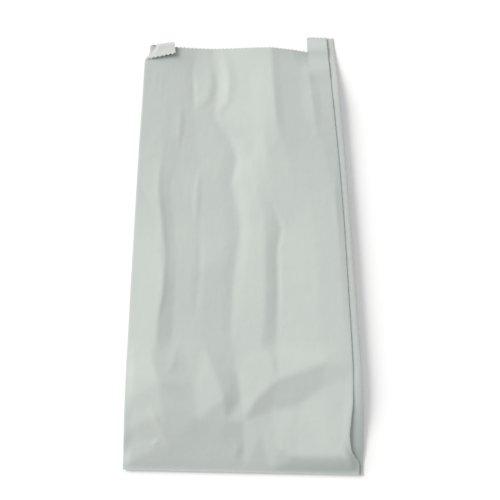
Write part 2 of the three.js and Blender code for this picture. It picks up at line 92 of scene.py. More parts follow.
# Fineness of the visible paper
HALF_TOOTH = TOOTH_PITCH / 2
ROW_STEP = 2.3 * MM
FIRST_ROWS = [0, 0.5 * MM, BOTTOM_SEAL, 2 * MM, 3.5 * MM]
REGULAR_FROM = 5.2 * MM  # the rows follow each other by ROW_STEP from here on
EAR_ROWS = 20
BELOW_TEETH = 1.2 * TOOTH_DEPTH  # the last row lies this far below a toothed edge's middle
ARC_STEPS = 6
LEAF_COLUMNS = 10
EAR_COLUMNS = 14
CURL_STEP = 0.05 * MM
CREASE_SOFTNESS = 0.9 * MM
SHARP_ANGLE = 50  # degrees between two faces that meet in a sharp edge
TINY = 1e-6
ROUNDING = 1e-9
NO_LENGTH = 1e-12

# Least distances that keep the mesh even: of a row or a tooth's column from its neighbour, in shares
# of the row's step or of half a tooth, and of a tooth from the ends of its edge, in columns
ROW_CLEARANCE = 0.4
LAST_ROW_CLEARANCE = 0.6
CUT_CLEARANCE = 0.3
SEAM_CLEARANCE = 0.4
END_CLEARANCE = 0.25
SAME_COLUMN = 0.01

# Lengthwise folds and creases of the front panel, from left to right. Each point gives the share of
# the length from the bottom fold, the share of half the width, and the height as a share of CREST_HEIGHT.
LEFT_FOLD = [
    (0.02, -0.985, 0.17), (0.06, -0.985, 0.42), (0.12, -0.988, 0.6), (0.2, -0.99, 0.72),
    (0.3, -0.99, 0.78), (0.4, -0.992, 0.78), (0.5, -0.992, 0.76), (0.6, -0.992, 0.82),
    (0.7, -0.99, 0.86), (0.8, -0.985, 0.92), (0.9, -0.982, 0.93), (1, -0.982, 0.94),
]
LEFT_RIDGE = [
    (0.02, -0.69, 0.18), (0.06, -0.7, 0.5), (0.12, -0.715, 0.78), (0.2, -0.73, 0.9),
    (0.3, -0.74, 0.96), (0.38, -0.71, 0.97), (0.46, -0.735, 0.9), (0.53, -0.755, 0.84),
    (0.6, -0.79, 0.86), (0.69, -0.775, 0.83), (0.8, -0.74, 0.83), (0.92, -0.71, 0.77),
    (1, -0.71, 0.86),
]
LEFT_SLOPE = [
    (0.02, -0.47, 0.19), (0.06, -0.48, 0.44), (0.12, -0.53, 0.62), (0.2, -0.6, 0.78),
    (0.3, -0.61, 0.8), (0.4, -0.6, 0.83), (0.53, -0.64, 0.7), (0.6, -0.67, 0.75), (0.69, -0.6, 0.72),
    (0.8, -0.605, 0.75), (0.92, -0.58, 0.69), (1, -0.56, 0.77),
]
LEFT_CREASE = [
    (0.02, -0.1, 0.19), (0.07, -0.08, 0.46), (0.12, -0.12, 0.6), (0.17, -0.2, 0.7), (0.22, -0.3, 0.73),
    (0.3, -0.38, 0.74), (0.4, -0.385, 0.76), (0.5, -0.393, 0.64), (0.6, -0.4, 0.68),
    (0.69, -0.41, 0.64), (0.8, -0.465, 0.66), (0.88, -0.475, 0.63), (0.95, -0.47, 0.65),
    (1, -0.46, 0.7),
]
VALLEY = [
    (0.02, 0.01, 0.2), (0.07, 0, 0.44), (0.12, -0.03, 0.56), (0.2, -0.09, 0.6), (0.3, -0.1, 0.61),
    (0.38, -0.095, 0.62), (0.47, -0.05, 0.62), (0.55, -0.06, 0.61), (0.62, -0.1, 0.6),
    (0.68, -0.04, 0.6), (0.73, -0.1, 0.6), (0.8, -0.26, 0.61), (0.89, -0.23, 0.61), (1, -0.28, 0.64),
]
LENS_EDGE = [
    (0.02, 0.06, 0.2), (0.12, 0.03, 0.56), (0.3, -0.04, 0.62), (0.4, -0.01, 0.64), (0.5, 0.005, 0.63),
    (0.62, -0.02, 0.65), (0.68, 0.02, 0.66), (0.74, -0.01, 0.7), (0.8, -0.16, 0.67),
    (0.88, -0.12, 0.73), (1, -0.11, 0.75),
]
MID_FRONT = [
    (0.02, 0.13, 0.22), (0.1, 0.1, 0.56), (0.2, 0.13, 0.62), (0.3, 0.19, 0.69), (0.45, 0.21, 0.745),
    (0.53, 0.21, 0.76), (0.6, 0.15, 0.78), (0.7, 0.12, 0.77), (0.8, 0.1, 0.89), (0.9, 0.1, 0.89),
    (1, 0.11, 0.93),
]
RIGHT_VALLEY = [
    (0.02, 0.25, 0.25), (0.06, 0.24, 0.5), (0.1, 0.23, 0.55), (0.2, 0.24, 0.57), (0.28, 0.3, 0.58),
    (0.38, 0.33, 0.63), (0.46, 0.34, 0.65), (0.51, 0.37, 0.68), (0.56, 0.3, 0.76), (0.65, 0.25, 0.84),
    (0.8, 0.23, 1), (0.88, 0.22, 1), (1, 0.24, 1),
]
CREST = [
    (0.02, 0.48, 0.28), (0.06, 0.48, 0.58), (0.12, 0.47, 0.58), (0.15, 0.47, 0.59), (0.19, 0.47, 0.63),
    (0.3, 0.5, 0.67), (0.4, 0.51, 0.71), (0.5, 0.515, 0.74), (0.62, 0.48, 0.85), (0.69, 0.45, 0.93),
    (0.76, 0.38, 1.04), (0.83, 0.34, 1.08), (1, 0.32, 1.03),
]
RIGHT_SLOPE = [
    (0.02, 0.66, 0.28), (0.06, 0.66, 0.6), (0.12, 0.65, 0.62), (0.16, 0.65, 0.64), (0.2, 0.65, 0.7),
    (0.3, 0.67, 0.74), (0.4, 0.675, 0.78), (0.5, 0.67, 0.8), (0.62, 0.62, 0.86), (0.7, 0.6, 0.91),
    (0.78, 0.56, 0.95), (0.84, 0.57, 0.92), (0.92, 0.6, 0.86), (1, 0.55, 0.74),
]
RIGHT_RIDGE = [
    (0.02, 0.79, 0.26), (0.06, 0.79, 0.6), (0.12, 0.79, 0.65), (0.16, 0.8, 0.67), (0.2, 0.84, 0.74),
    (0.3, 0.885, 0.77), (0.4, 0.89, 0.79), (0.5, 0.885, 0.81), (0.6, 0.86, 0.83), (0.7, 0.81, 0.85),
    (0.8, 0.745, 0.86), (0.92, 0.715, 0.78), (1, 0.709, 0.42),
]
RIGHT_FOLD = [
    (0.02, 0.94, 0.24), (0.045, 0.88, 0.54), (0.07, 0.872, 0.6), (0.1, 0.89, 0.62),
    (0.14, 0.917, 0.66), (0.22, 0.935, 0.75), (0.38, 0.942, 0.745), (0.53, 0.946, 0.745),
    (0.66, 0.942, 0.745), (0.84, 0.925, 0.75), (0.94, 0.918, 0.53), (1, 0.917, 0.28),
]
CREASES = [
    LEFT_FOLD, LEFT_RIDGE, LEFT_SLOPE, LEFT_CREASE, VALLEY, LENS_EDGE,
    MID_FRONT, RIGHT_VALLEY, CREST, RIGHT_SLOPE, RIGHT_RIDGE, RIGHT_FOLD,
]

# Numbers of the creases that turn to the cuts of the left and of the right ear
LEFT_CUT_CREASE = 1
RIGHT_CUT_CREASE = len(CREASES) - 2

# Right fold of the back panel: share of the length, share of half the width.
BACK_EDGE = [(0, 0.968), (0.06, 0.99), (0.14, 1.004), (0.5, 1.007), (0.85, 0.997), (1, 0.99)]

# Curl of the left ear: share of its height, direction of the paper in degrees above +Y.
EAR_CURL = [(0, 14), (0.2, 30), (0.42, 178), (0.55, 187), (1, 184)]
CREST_OF_CURL = 0.32  # share of the ear's height where the curl turns over
EAR_SKEW = 3.5 * MM  # the curl begins this much lower at the left fold than at the cut
EAR_PRESS = 4.75 * MM  # length past the mouth over which the curled ear's layers close up
LAYERS_PRESSED = 0.6  # and the share of their distance that is left then
CORNER_CRUSH = 16 * MM  # length over which the left corner is crushed in below the mouth
CORNER_PINCH = 4.5 * MM  # the left fold's move to the right at the mouth
CREST_PINCH = 11 * MM  # and at the top of the ear's curl
TIP_PINCH = 2 * MM  # and at the ear's end
CUT_SWING = (0, 2.2 * MM, 3.8 * MM)  # the cut's move to the right at the same three places

# Lesser creases of the front panel. Each is a path of (x, distance from the bottom fold) in
# millimetres, drawn towards the mouth, a height in millimetres (below zero for a valley), and the
# reach of its flanks to the left and to the right.
LESSER_CREASES = [
    ([(-20, 290), (-12, 301), (-10, 320), (-12, 338), (-15, 350)], 0.5, 8, 8),
    ([(-36, 294), (-29, 303), (-26, 318), (-28, 336)], 0.5, 14, 6),
    ([(-40, 296), (-42, 318), (-43, 338)], -0.35, 7, 3),
    ([(-75, 298), (-75, 338)], 0.12, 2.5, 3),
    ([(-71, 290), (-70, 335)], 0.12, 2.5, 3),
    ([(-53, 256), (-52, 275), (-51, 294)], 0.4, 8, 3),
    ([(-37, 188), (-37, 205), (-35, 234)], 0.35, 4, 3.5),
    ([(-36, 110), (-34, 140), (-33, 174)], -0.3, 5, 5),
    ([(-9, 100), (-6, 140), (-1, 187), (-3, 203), (-8, 225), (-4, 250), (-12, 269), (-22, 287)],
     -0.5, 12, 9),
    ([(31, 262), (29, 300), (28, 350)], 0.4, 22, 8),
    ([(-65, 97), (-61, 127), (-60, 157), (-64, 187), (-68, 215), (-68, 232), (-65, 250)], 0.35, 4, 3),
    ([(-70, 196), (-86, 222)], -0.3, 6, 3),
    ([(65, 268), (63, 300), (60, 340)], 0.5, 10, 8),
    ([(78, 180), (79, 215), (80, 248)], 0.3, 5, 2),
    ([(79, 262), (79, 330)], 0.15, 2.5, 2),
    ([(26, 102), (28, 128), (28, 165), (32, 182), (26, 203)], -0.45, 9, 3),
    ([(-54, 21), (-62, 32), (-68, 43)], 0.45, 2.5, 3),
    ([(-66, 17), (-58, 21)], 0.3, 2.5, 2.5),
    ([(-8, 10), (-3, 16), (-9, 21)], 0.35, 3, 3),
    ([(-58, 64), (-52, 72), (-50, 86)], 0.25, 6, 4),
]

# Folds of the crumpled bottom, as chains of (x, distance from the bottom fold, height) in millimetres.
# The paper lies flat between them.
BOTTOM_FOLDS = [
    [(-95, 0, 1.25), (-50, 0, 1.25), (0, 0, 1.25), (20, 0, 1.25), (50, 0, 1.25), (95, 0, 1.25)],
    [(-95, 0, 1.25), (-95, 21, 3.2), (-95, 43, 5.2), (-95, 71, 6.9), (-95, 98, 7.6)],
    [(95, 0, 1.25), (95, 21, 6.2), (95, 43, 6.7), (95, 71, 7.6), (95, 98, 7.6)],
    [(-65, 98, 9.4), (-68, 80, 9.5), (-62, 60, 10.2), (-58, 40, 8.1), (-53, 20, 5), (-50, 0, 1.25)],
    [(-62, 60, 10.2), (-48, 44, 8.6), (-33, 36, 7.6), (-20, 33, 6.9), (-12, 34, 6.7), (0, 35, 6.2)],
    [(0, 35, 6.2), (12, 25, 5.7), (25, 15, 5.3), (38, 11, 5.1), (60, 11, 5.5), (80, 12, 6)],
    [(0, 35, 6.2), (20, 42, 4.6), (40, 46, 4.8), (60, 60, 6), (80, 66, 7.1)],
    [(0, 35, 6.2), (10, 50, 6.6), (25, 64, 7.3), (45, 71, 7.6), (61, 77, 7.9), (79, 74, 7.6)],
    [(0, 35, 6.2), (-2, 50, 5.9), (-5, 70, 5.9), (-9, 98, 6.1)],
    [(-12, 34, 6.7), (-14, 50, 8.2), (-20, 67, 8.2), (-29, 87, 7.7), (-33, 98, 7.6)],
    [(-33, 36, 7.6), (-36, 60, 7.6), (-38, 98, 8.1)],
    [(-95, 98, 7.6), (-65, 98, 9.4), (-50, 98, 8.2), (-38, 98, 8.1), (-33, 98, 7.6), (-9, 98, 6.1),
     (16, 98, 6.8), (26, 98, 5.8), (44, 98, 6.6), (58, 98, 7.3), (77, 98, 7.6), (95, 98, 7.6)],
]
BOTTOM_REACH = 95 * MM
BOTTOM_BLEND = 18 * MM

# Shape of a lesser crease: the share of its path over which each end is blunt, the power of its
# swell along the path, the share of its reach at its ends, and the power of its flanks
BLUNT_END = 0.04
SWELL_POWER = 0.6
END_REACH = 0.4
FLANK_POWER = 1.3

# Where the facets and the lesser creases fade out: beside the folds, above the bottom, past the mouth
FOLD_FADE = 6 * MM
BOTTOM_FADE = (3 * MM, 10 * MM)
MOUTH_FADE = 4 * MM


def smooth(start, end, value):
    """Rises softly from 0 at the start to 1 at the end."""
    t = np.clip((value - start) / (end - start), 0, 1)
    return t * t * (3 - 2 * t)


def along(points, at, which):
    """Values at the places `at` on a smooth curve through the points, whose first numbers rise."""
    places = np.array([p[0] for p in points], float)
    values = np.array([p[which] for p in points], float)
    at = np.clip(np.asarray(at, float), places[0], places[-1])
    slopes = np.diff(values) / np.diff(places)
    tangents = np.zeros(len(values))
    before, after = slopes[:-1], slopes[1:]
    bends = before * after > 0
    tangents[1:-1][bends] = 2 * before[bends] * after[bends] / (before[bends] + after[bends])
    k = np.clip(np.searchsorted(places, at, side="right") - 1, 0, len(places) - 2)
    width = places[k + 1] - places[k]
    t = (at - places[k]) / width
    return (
        (2 * t**3 - 3 * t**2 + 1) * values[k] + (t**3 - 2 * t**2 + t) * width * tangents[k]
        + (3 * t**2 - 2 * t**3) * values[k + 1] + (t**3 - t**2) * width * tangents[k + 1]
    )


def crease_points(stations):
    """Places [crease, station] of the front panel's creases across the bag, and their heights."""
    share = np.minimum(stations / LENGTH, 1)
    pinch = smooth(0, CREASES[0][0][0], share)
    ear = smooth(LENGTH, TIP, stations)
    folded = smooth(LENGTH, LENGTH + EAR_PRESS, stations)
    to_cut = smooth(*TURN_TO_CUT, share)
    xs, zs = [], []
    for k, crease in enumerate(CREASES):
        x = along(crease, share, 1) * HALF_WIDTH
        if k == LEFT_CUT_CREASE:
            x = x + (-EAR_CUT - x) * to_cut
        if k == RIGHT_CUT_CREASE:
            x = x + (EAR_CUT - x) * to_cut
        height = PINCHED + (along(crease, share, 2) * CREST_HEIGHT - PINCHED) * pinch
        if k >= RIGHT_CUT_CREASE:
            height = height + (PINCHED - height) * ear
        if k <= LEFT_CUT_CREASE:
            height = height + (CORNER_LIFT + PINCHED - height) * folded
        xs.append(x)
        zs.append(height)
    return np.array(xs), np.array(zs)


def lesser_height(x, station):
    """Height that the lesser creases add to the front panel."""
    total = np.zeros_like(x)
    for path, height, reach_left, reach_right in LESSER_CREASES:
        points = np.array(path, float) * MM
        steps = np.linalg.norm(np.diff(points, axis=0), axis=1)
        run = np.concatenate([[0], np.cumsum(steps)])
        nearest = np.full(x.shape, np.inf)
        side = np.zeros(x.shape)
        place = np.zeros(x.shape)
        for k, step in enumerate(steps):
            direction = (points[k + 1] - points[k]) / step
            dx, dy = x - points[k][0], station - points[k][1]
            t = np.clip(dx * direction[0] + dy * direction[1], 0, step)
            ox, oy = dx - t * direction[0], dy - t * direction[1]
            distance = np.hypot(ox, oy)
            closer = distance < nearest
            nearest = np.where(closer, distance, nearest)
            side = np.where(closer, direction[0] * oy - direction[1] * ox, side)
            place = np.where(closer, run[k] + t, place)
        reach = np.where(side > 0, reach_left, reach_right) * MM
        swell = np.sin(np.pi * np.clip(place / run[-1], BLUNT_END, 1 - BLUNT_END)) ** SWELL_POWER
        flank = np.clip(1 - nearest / (reach * (END_REACH + (1 - END_REACH) * swell)), 0, 1)
        total += height * MM * swell * flank**FLANK_POWER
    return total


def bottom_height(x, stations):
    """Height of the crumpled bottom, where the paper lies in flat facets between its folds."""
    corners, edges = [], []
    for chain in BOTTOM_FOLDS:
        corners += [corner for corner in chain if corner not in corners]
        numbers = [corners.index(corner) for corner in chain]
        edges += zip(numbers, numbers[1:])
    flat = [Vector(corner[:2]) * MM for corner in corners]
    places, _, triangles, sources, _, _ = delaunay_2d_cdt(flat, edges, [], 0, TINY)
    heights = [corners[source[0]][2] * MM for source in sources]
    result = np.zeros_like(x)
    around = ((0, 0), (1, 0), (-1, 0), (0, 1), (0, -1))
    for dx, dy in around:
        px, py = x + dx * CREASE_SOFTNESS, np.clip(stations + dy * CREASE_SOFTNESS, 0, BOTTOM_REACH)
        layer = np.zeros_like(x)
        for corner in triangles:
            (ax, ay), (bx, by), (cx, cy) = (places[i] for i in corner)
            area = (bx - ax) * (cy - ay) - (cx - ax) * (by - ay)
            u = ((px - ax) * (cy - ay) - (cx - ax) * (py - ay)) / area
            v = ((bx - ax) * (py - ay) - (px - ax) * (by - ay)) / area
            a, b, c = (heights[i] for i in corner)
            inside = (u > -TINY) & (v > -TINY) & (u + v < 1 + TINY)
            layer = np.where(inside, a + u * (b - a) + v * (c - a), layer)
        result += layer / len(around)
    return result


def front_height(x, stations, xs, zs):
    """Height of the front panel at x[station, column]: straight between creases, soft at them."""
    result = np.zeros_like(x)
    weights = np.array([1, 2, 3, 4, 3, 2, 1], float)
    weights /= weights.sum()
    offsets = np.linspace(-1, 1, len(weights)) * CREASE_SOFTNESS
    reach = 4 * CREASE_SOFTNESS
    for j in range(len(stations)):
        cx, cz = xs[:, j], zs[:, j]
        first = (cz[1] - cz[0]) / (cx[1] - cx[0])
        last = (cz[-1] - cz[-2]) / (cx[-1] - cx[-2])
        px = np.concatenate([[cx[0] - reach], cx, [cx[-1] + reach]])
        pz = np.concatenate([[cz[0] - first * reach], cz, [cz[-1] + last * reach]])
        for offset, weight in zip(offsets, weights):
            result[j] += weight * np.interp(x[j] + offset, px, pz)
    return result


def corner_lift(x, stations):
    """Rise of the back panel and the gussets under the curled left ear."""
    rise = smooth(CORNER_RISES * LENGTH, LENGTH, stations) ** CORNER_RISE_POWER
    return CORNER_LIFT * smooth(-EAR_CUT / 2, -EAR_CUT, x) * rise


def hem_lift(stations):
    """Rise of the back panel over the hem."""
    return HEM_THICKNESS * (1 - smooth(HEM_LENGTH, HEM_LENGTH + HEM_EASE, stations))


def tooth_places():
    """Places across the bag between the two cuts, with a column at each tooth and gap."""
    count = int(EAR_CUT / HALF_TOOTH)
    places = [n * HALF_TOOTH for n in range(-count, count + 1)]
    return [-EAR_CUT] + [x for x in places if abs(x) < EAR_CUT - CUT_CLEARANCE * HALF_TOOTH] + [EAR_CUT]


def back_places():
    """The same places from right to left, with the seam's two glued edges between them."""
    edge = SEAM_OVERLAP / 2
    edges = [edge + SLIT_EDGE, edge - SLIT_EDGE, -edge + SLIT_EDGE, -edge - SLIT_EDGE]
    clear = SEAM_CLEARANCE * HALF_TOOTH
    places = [x for x in tooth_places() if all(abs(x - e) > clear for e in edges)]
    return sorted(places + edges, reverse=True)


def seam_layers(x):
    """Layers of paper that the seam puts under the panel's middle line and outside it."""
    edge = SEAM_OVERLAP / 2
    raised = np.interp(x, [-edge - SLIT_EDGE, -edge + SLIT_EDGE, edge + SLIT_EDGE, edge + SEAM_EASE],
                       [0, 1, 1, 0])
    doubled = np.interp(x, [-edge - SLIT_EDGE, -edge + SLIT_EDGE, edge - SLIT_EDGE, edge + SLIT_EDGE],
                        [0, 1, 1, 0])
    return raised, doubled


class Grid:
    """The paper's middle surface: x and z of every column at every station."""

    def __init__(self, stations):
        self.stations = np.array(stations)
        self.x, self.z = [], []
        self.build()
        self.x, self.z = np.array(self.x).T, np.array(self.z).T
        self.count = self.x.shape[1]
        self.points = self.placed()
        self.normals = self.directions()

    def column(self, x, z):
        self.x.append(np.broadcast_to(x, self.stations.shape).astype(float))
        self.z.append(np.broadcast_to(z, self.stations.shape).astype(float))

    def straight(self, start, end, count):
        for i in range(1, count):
            t = i / count
            self.column(start[0] + (end[0] - start[0]) * t, start[1] + (end[1] - start[1]) * t)

    def arc(self, x, z, outward):
        """Half turn of a pressed fold, from its upper leaf down to its lower one."""
        made = []
        for i in range(ARC_STEPS + 1):
            angle = math.pi * i / ARC_STEPS
            place = x + outward * FOLD_RADIUS * (math.sin(angle) - 1)
            made.append((place, z - FOLD_RADIUS * (1 - math.cos(angle))))
        return made

    def gusset(self, side, front, inner_z, back, bows):
        """Points of the gusset at the side 1 or -1, from the front panel's fold to the back panel's."""
        arcs = (
            self.arc(*front, side),
            self.arc(side * GUSSET_FOLD, inner_z + FOLD_RADIUS, -side),
            self.arc(back[0], back[1] + 2 * FOLD_RADIUS, side),
        )
        made = list(arcs[0])
        for upper, lower, bow in zip(arcs, arcs[1:], bows):
            start, end = upper[-1], lower[0]
            for i in range(1, LEAF_COLUMNS):
                t = i / LEAF_COLUMNS
                x = start[0] + (end[0] - start[0]) * t
                z = start[1] + (end[1] - start[1]) * t + bow * 4 * t * (1 - t)
                made.append((x, z))
            made += lower
        return made

    def build(self):
        """Goes once around the bag: front panel, right gusset, back panel, left gusset."""
        s = self.stations
        share = np.minimum(s / LENGTH, 1)
        xs, zs = crease_points(s)
        front_z = self.add_front(xs, zs)

        back_z = PAPER / 2 + hem_lift(s)
        stacked = back_z + 3 * FOLD_RADIUS
        opened = smooth(0, GUSSET_OPENED, share)
        rise = GUSSET_RISE * opened
        fallen = smooth(EDGE_FALLS * LENGTH, TIP, s)
        right_lift = EDGE_LIFT * smooth(0, EDGE_RISEN, share) * (1 - fallen)
        right_inner = stacked + rise * (1 - smooth(LENGTH, TIP, s))
        right_back = (along(BACK_EDGE, share, 1) * HALF_WIDTH, back_z + right_lift)
        right_bows = [bow * opened * (1 - fallen) for bow in RIGHT_BOWS]
        left_lift = corner_lift(-EAR_CUT, s)
        left_inner = stacked + rise * (1 - smooth(LENGTH, LENGTH + EAR_PRESS, s)) + left_lift
        left_back = (-HALF_WIDTH + SHEAR, back_z + left_lift)
        left_bows = [bow * opened * smooth(0, LEFT_STRAIGHTENS, 1 - share) for bow in LEFT_BOWS]

        right = self.gusset(1, (xs[-1], front_z[:, -1]), right_inner, right_back, right_bows)
        left = self.gusset(-1, (xs[0], front_z[:, 0]), left_inner, left_back, left_bows)
        leaf = ARC_STEPS + LEAF_COLUMNS
        self.right_inner_arc = self.front_end + leaf
        self.right_back_arc = self.right_inner_arc + leaf
        for place, height in right:
            self.column(place, height)
        self.add_back(right_back, back_z, left_back)
        self.left_inner_arc = self.left_back_arc + leaf
        self.left_front_arc = self.left_inner_arc + leaf
        for place, height in reversed(left[1:]):
            self.column(place, height)

    def add_front(self, xs, zs):
        """The front panel with all its creases, from its left fold to its right one."""
        s = self.stations
        left_x, right_x = xs[0] + FOLD_RADIUS, xs[-1] - FOLD_RADIUS
        middle = tooth_places()
        fractions = [i / EAR_COLUMNS for i in range(EAR_COLUMNS)]
        across = [left_x + (-EAR_CUT - left_x) * t for t in fractions]
        across += [np.full(s.shape, x) for x in middle]
        across += [EAR_CUT + (right_x - EAR_CUT) * (t + 1 / EAR_COLUMNS) for t in fractions]
        x = np.array(across).T
        z = front_height(x, s, xs, zs)
        at = np.broadcast_to(s[:, None], x.shape)
        from_folds = smooth(0, FOLD_FADE, np.minimum(x - left_x[:, None], right_x[:, None] - x))
        low = smooth(0, FOLD_FADE, at) * (1 - smooth(BOTTOM_REACH - BOTTOM_BLEND, BOTTOM_REACH, at))
        z += (bottom_height(x, at) - z) * from_folds * low
        calm = smooth(*BOTTOM_FADE, at) * (1 - smooth(LENGTH, LENGTH + MOUTH_FADE, at))
        z += lesser_height(x, at) * from_folds * calm
        for i in range(x.shape[1] - 1):
            self.column(x[:, i], z[:, i])
        self.front_left_cut = EAR_COLUMNS
        self.front_right_cut = EAR_COLUMNS + len(middle) - 1
        self.front_end = x.shape[1] - 1
        return z

    def add_back(self, right, middle_z, left):
        """The back panel from its right fold to its left one, each given as its x and height."""
        places = back_places()
        self.straight((right[0] - FOLD_RADIUS, right[1]), (EAR_CUT, middle_z), EAR_COLUMNS)
        self.back_right_cut = self.right_back_arc + ARC_STEPS + EAR_COLUMNS
        self.back_left_cut = self.back_right_cut + len(places) - 1
        for place in places:
            raised, _ = seam_layers(place)
            self.column(place, middle_z + raised * PAPER + corner_lift(place, self.stations))
        self.straight((-EAR_CUT, left[1]), (left[0] + FOLD_RADIUS, left[1]), EAR_COLUMNS)
        self.left_back_arc = self.back_left_cut + EAR_COLUMNS

    def is_arc(self, column):
        arcs = (self.front_end, self.right_inner_arc, self.right_back_arc,
                self.left_back_arc, self.left_inner_arc, self.left_front_arc)
        return any(start <= column < start + ARC_STEPS for start in arcs)

    def placed(self):
        """Points in space, with the left ear curled over."""
        s = np.broadcast_to(self.stations[:, None], self.x.shape)
        square = -OUT_OF_SQUARE * self.x
        from_cut = np.clip(-EAR_CUT - self.x, 0, EAR_WIDTH) / EAR_WIDTH
        start = LENGTH - EAR_SKEW * from_cut
        past = np.clip(s - start, 0, None)
        path_at, forward, up = curl_path()
        angle = np.radians(along(EAR_CURL, past / EAR_HEIGHT, 1)) - math.radians(EAR_CURL[0][1])
        core = CORNER_LIFT + PINCHED / 2
        pressed = 1 - (1 - LAYERS_PRESSED) * smooth(0, EAR_PRESS, past)
        offset = (self.z - core) * pressed
        curling = (past > 0) & (self.x < 0)
        y = start + square + np.interp(past, path_at, forward) - offset * np.sin(angle)
        z = core + np.interp(past, path_at, up) + offset * np.cos(angle)
        return np.stack([
            self.x + np.where(self.x < 0, self.pinch(s, from_cut), 0),
            np.where(curling, y, s + square),
            np.where(curling, z, self.z),
        ], axis=2)

    def pinch(self, s, from_cut):
        """Move to the right of the left corner and its curled ear."""
        share = (s - LENGTH) / EAR_HEIGHT
        places = (0, CREST_OF_CURL, 1)
        corner = CORNER_PINCH * smooth(LENGTH - CORNER_CRUSH, LENGTH - CORNER_CRUSH / 2, s)
        inward = np.interp(share, places, [0, CREST_PINCH - CORNER_PINCH, TIP_PINCH - CORNER_PINCH])
        at_cut = np.interp(share, places, CUT_SWING)
        return (corner + inward) * from_cut + at_cut * (1 - from_cut)

    def directions(self):
        """Directions that the paper's outer face looks in."""
        p = self.points
        ahead = np.roll(p, -1, axis=1) - p
        behind = p - np.roll(p, 1, axis=1)
        unit = lambda v: v / np.maximum(np.linalg.norm(v, axis=2, keepdims=True), NO_LENGTH)
        tangent = unit(ahead) + unit(behind)
        forward = np.gradient(p, axis=0)
        return unit(np.cross(tangent, forward))


def curl_path():
    """Middle of the curled ear: distances past the mouth, and how far forward and up they lie."""
    at = np.arange(0, EAR_HEIGHT + EAR_SKEW + 2 * TOOTH_DEPTH, CURL_STEP)
    angle = np.radians(along(EAR_CURL, (at[:-1] + CURL_STEP / 2) / EAR_HEIGHT, 1))
    forward = np.concatenate([[0], np.cumsum(CURL_STEP * np.cos(angle))])
    up = np.concatenate([[0], np.cumsum(CURL_STEP * np.sin(angle))])
    return at, forward, up


OUTSIDE, INSIDE = 1, -1


